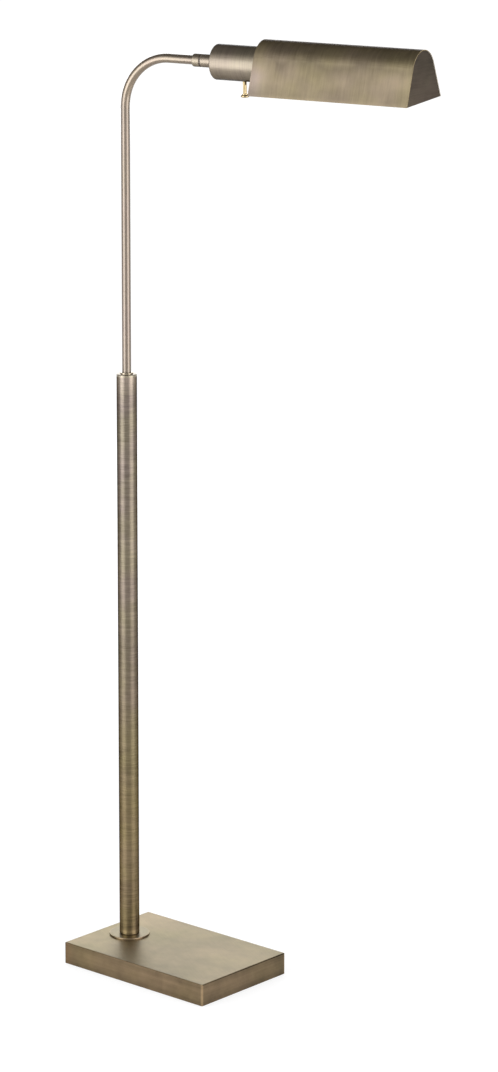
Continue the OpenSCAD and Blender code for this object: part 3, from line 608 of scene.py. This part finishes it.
def felt_outline(inset):
    """Points around the felt's cut, a rectangle with rounded corners, drawn in by an inset."""
    half_long = BASE_LENGTH / 2 - FELT_MARGIN - inset
    half_wide = BASE_WIDTH / 2 - FELT_MARGIN - inset
    radius = max(FELT_CORNER - inset, FELT_LEAST_CORNER)
    points = []
    for turn in range(4):
        reach, side = (half_long, half_wide) if turn % 2 == 0 else (half_wide, half_long)
        quarter = Matrix.Rotation(turn * math.pi / 2, 2)
        centre = Vector((reach - radius, side - radius))
        for i in range(FELT_SIDE_POINTS):
            along = (2 * i / FELT_SIDE_POINTS - 1) * centre.y
            points.append(quarter @ Vector((reach, along)))
        for i in range(FELT_CORNER_POINTS):
            angle = i / FELT_CORNER_POINTS * math.pi / 2
            points.append(quarter @ (centre + radius * Vector((math.cos(angle), math.sin(angle)))))
    return points


def felt_row(inset, height):
    """One row of the felt's points, ragged near its edge, in the foot's place."""
    place = Matrix.Rotation(BASE_TURN, 3, "Z")
    middle = Vector((BASE_MIDDLE, 0.0, height))
    row = []
    for x, y in felt_outline(inset):
        spot = tuple(part * scale for part, scale in zip((x, y, height), FELT_RAG_SCALE))
        rag = FELT_RAG * (noise.noise(spot) - 1.0) if inset < FELT_RAG_REACH else 0.0
        point = Vector((x, y, 0.0))
        point += point.normalized() * rag
        row.append(place @ (point + middle))
    return row


def felt_mesh():
    """Closed mesh of the felt, of rows joined from its underside to its top."""
    shape = bmesh.new()
    rows = [[shape.verts.new(point) for point in felt_row(*row)] for row in FELT_ROWS]
    for low, high in zip(rows, rows[1:]):
        for i in range(len(low)):
            j = (i + 1) % len(low)
            shape.faces.new((low[i], low[j], high[j], high[i]))
    shape.faces.new(list(reversed(rows[0])))
    shape.faces.new(rows[-1])
    bmesh.ops.recalc_face_normals(shape, faces=shape.faces)
    mesh = bpy.data.meshes.new("felt_sheet")
    shape.to_mesh(mesh)
    shape.free()
    for face in mesh.polygons:
        face.use_smooth = len(face.vertices) == 4
    return mesh


def felt_sheet():
    """Felt under the foot: a cut sheet with soft, slightly ragged edges."""
    mesh = felt_mesh()
    mesh.materials.append(felt_cloth())
    piece = bpy.data.objects.new("felt_sheet", mesh)
    bpy.context.scene.collection.objects.link(piece)
    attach(piece, "base")
    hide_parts("felt_pad")


# Which of the shade's faces are its sides and which are its ends
SIDE_NORMAL, END_NORMAL = 0.5, 0.9


def cover(node, material):
    """Gives a node of the model its material."""
    for slot in NODES[node].material_slots:
        slot.material = material


def line_inside(node, material, inside):
    """Gives a second material to the faces of a node that a test picks."""
    mesh = NODES[node].data
    mesh.materials.append(material)
    for face in mesh.polygons:
        if inside(face.center, face.normal):
            face.material_index = len(mesh.materials) - 1


def towards_bulb(centre, normal):
    """Whether a face of the shade's shell looks in at the arm's axis."""
    return abs(normal.x) < SIDE_NORMAL and normal.y * centre.y + normal.z * (centre.z - ARM_HEIGHT) < 0


def line_shade():
    """Enamels the shade's inner faces."""
    enamel = surface("shade_enamel", *SHADE_ENAMEL)
    line_inside("shade_shell", enamel, towards_bulb)
    line_inside("shade_front_plate", enamel, lambda centre, normal: normal.x < -END_NORMAL)
    line_inside("shade_rear_plate", enamel, lambda centre, normal: normal.x > END_NORMAL)


def dress():
    """Gives each node its material, by its slot in the record, and some nodes a finish of their own."""
    finishes = {name: surface(name, *look) for name, look in SURFACES.items()}
    finishes["polished_brass"] = polished_brass()
    for row in frame["record"]["subparts"]:
        if row["material_slot"] in finishes:
            cover(row["node"], finishes[row["material_slot"]])
    cup, plate = cup_brass(), plate_brass()
    own = {"base_cover": base_brass(), "foot_flange": buffed_brass("flange_brass"),
           "lower_pole": pole_brass(), "pole_cap": buffed_brass("cap_brass"),
           "cap_ring": buffed_brass("ring_brass"), "stem_tube": stem_brass(),
           "arm_ferrule": cup, "swivel_collar": cup, "socket_cup": cup,
           "swivel_washer": surface("washer_fibre", *WASHER_FIBRE, WASHER_STRETCH),
           "shade_shell": shade_brass(), "shade_rear_plate": plate, "shade_front_plate": plate}
    for node, material in own.items():
        cover(node, material)
    line_shade()


# Lamps: name, degrees from the camera's side, height, distance, size, radiance, aim and colour
AIM_MIDDLE, AIM_HEAD, AIM_FOOT = (0.1, 0.0, 1.0), (0.3, 0.0, 1.3), (0.0, 0.0, 0.1)
SOFTBOXES = (
    ("left_softbox", -53, 1.10, 2.2, (1.8, 2.15), 3.1, AIM_MIDDLE, (0.965, 1.0, 1.045)),
    ("right_softbox", 53, 1.10, 2.3, (1.8, 2.15), 2.8, AIM_MIDDLE, (0.985, 0.99, 1.02)),
    ("high_softbox", -60, 2.55, 1.9, (1.8, 0.9), 0.8, AIM_HEAD, (1.0, 1.0, 1.0)),
    ("front_softbox", 0, 1.0, 3.0, (1.2, 1.4), 0.6, AIM_MIDDLE, (1.0, 1.0, 1.0)),
    ("back_softbox", 180, 1.6, 3.2, (4.0, 2.0), 2.0, AIM_FOOT, (1.0, 1.0, 1.0)),
)

# Watts per square metre that give a lamp a radiance of one
WATTS_PER_RADIANCE = 4


def softbox(name, side, height, distance, size, radiance, aim, colour):
    """A rectangular soft lamp, placed by its angle from the camera's side."""
    data = bpy.data.lights.new(name, "AREA")
    data.shape = "RECTANGLE"
    data.size, data.size_y = size
    data.energy = radiance * size[0] * size[1] * WATTS_PER_RADIANCE
    data.color = colour
    lamp = bpy.data.objects.new(name, data)
    azimuth = CAMERA_AZIMUTH + math.radians(side)
    lamp.location = Vector((math.sin(azimuth), -math.cos(azimuth), 0.0)) * distance + ALONG_Z * height
    lamp.rotation_mode = "QUATERNION"
    lamp.rotation_quaternion = (Vector(aim) - lamp.location).to_track_quat("-Z", "Y")
    lamp.visible_camera = False
    bpy.context.scene.collection.objects.link(lamp)


def studio():
    """Two tall softboxes beside the camera, faint ones in front and high on the left, a wide one behind."""
    for row in SOFTBOXES:
        softbox(*row)


# World: the rise of the view from which it darkens and to which, and its strength at each
WORLD_FALL = {"From Min": 0.12, "From Max": 0.35, "To Min": 0.55, "To Max": 0.32}


def world():
    """White room that is darker overhead."""
    made = bpy.data.worlds.new("studio")
    bpy.context.scene.world = made
    made.use_nodes = True
    tree = made.node_tree
    back = tree.nodes["Background"]
    way = tree.nodes.new("ShaderNodeTexCoord")
    parts = tree.nodes.new("ShaderNodeSeparateXYZ")
    fall = tree.nodes.new("ShaderNodeMapRange")
    back.inputs["Color"].default_value = WHITE
    for socket, value in WORLD_FALL.items():
        fall.inputs[socket].default_value = value
    tree.links.new(way.outputs["Generated"], parts.inputs[0])
    tree.links.new(parts.outputs["Z"], fall.inputs["Value"])
    tree.links.new(fall.outputs["Result"], back.inputs["Strength"])


# Floor: its size and colour, and how white it shows, from one distance from the pole to another
FLOOR_HALF, FLOOR_DEPTH = 40.0, -0.0005
FLOOR_GREY = (0.30, 0.30, 0.30, 1.0)
FLOOR_GLOW = (0.8, 4.0, 0.78, 0.97)


def floor():
    """White floor that keeps a soft shadow, and shows white in reflections too."""
    mesh = bpy.data.meshes.new("floor")
    signs = ((-1, -1), (1, -1), (1, 1), (-1, 1))
    mesh.from_pydata([(x * FLOOR_HALF, y * FLOOR_HALF, FLOOR_DEPTH) for x, y in signs], [], [(0, 1, 2, 3)])
    made = bpy.data.objects.new("floor", mesh)
    bpy.context.scene.collection.objects.link(made)
    s = Shader("floor", {"Base Color": FLOOR_GREY, "Roughness": 1.0, "Specular IOR Level": 0.0,
                         "Emission Color": WHITE})
    rays = s.node("LightPath").outputs
    through = s.math("MAXIMUM", rays["Is Glossy Ray"], rays["Is Transmission Ray"])
    seen = s.math("MAXIMUM", rays["Is Camera Ray"], through)
    glow = s.spread(from_axis(s, s.parts(s.place)), *FLOOR_GLOW)
    s.set("Emission Strength", s.times(seen, glow))
    mesh.materials.append(s.material)


def camera():
    """Camera that looks at the lamp from the photograph's side."""
    data = bpy.data.cameras.new("camera")
    data.lens = CAMERA_LENS
    data.clip_end = CAMERA_REACH
    made = bpy.data.objects.new("camera", data)
    turn = (Matrix.Rotation(CAMERA_AZIMUTH, 4, "Z")
            @ Matrix.Rotation(math.pi / 2 - CAMERA_ELEVATION, 4, "X")
            @ Matrix.Rotation(CAMERA_ROLL, 4, "Z"))
    made.matrix_world = Matrix.Translation(CAMERA_TARGET) @ turn @ Matrix.Translation((0, 0, CAMERA_DISTANCE))
    bpy.context.scene.collection.objects.link(made)
    bpy.context.scene.camera = made


bpy.context.scene.view_settings.view_transform = "Standard"
camera()
world()
floor()
studio()
dress()
felt_sheet()
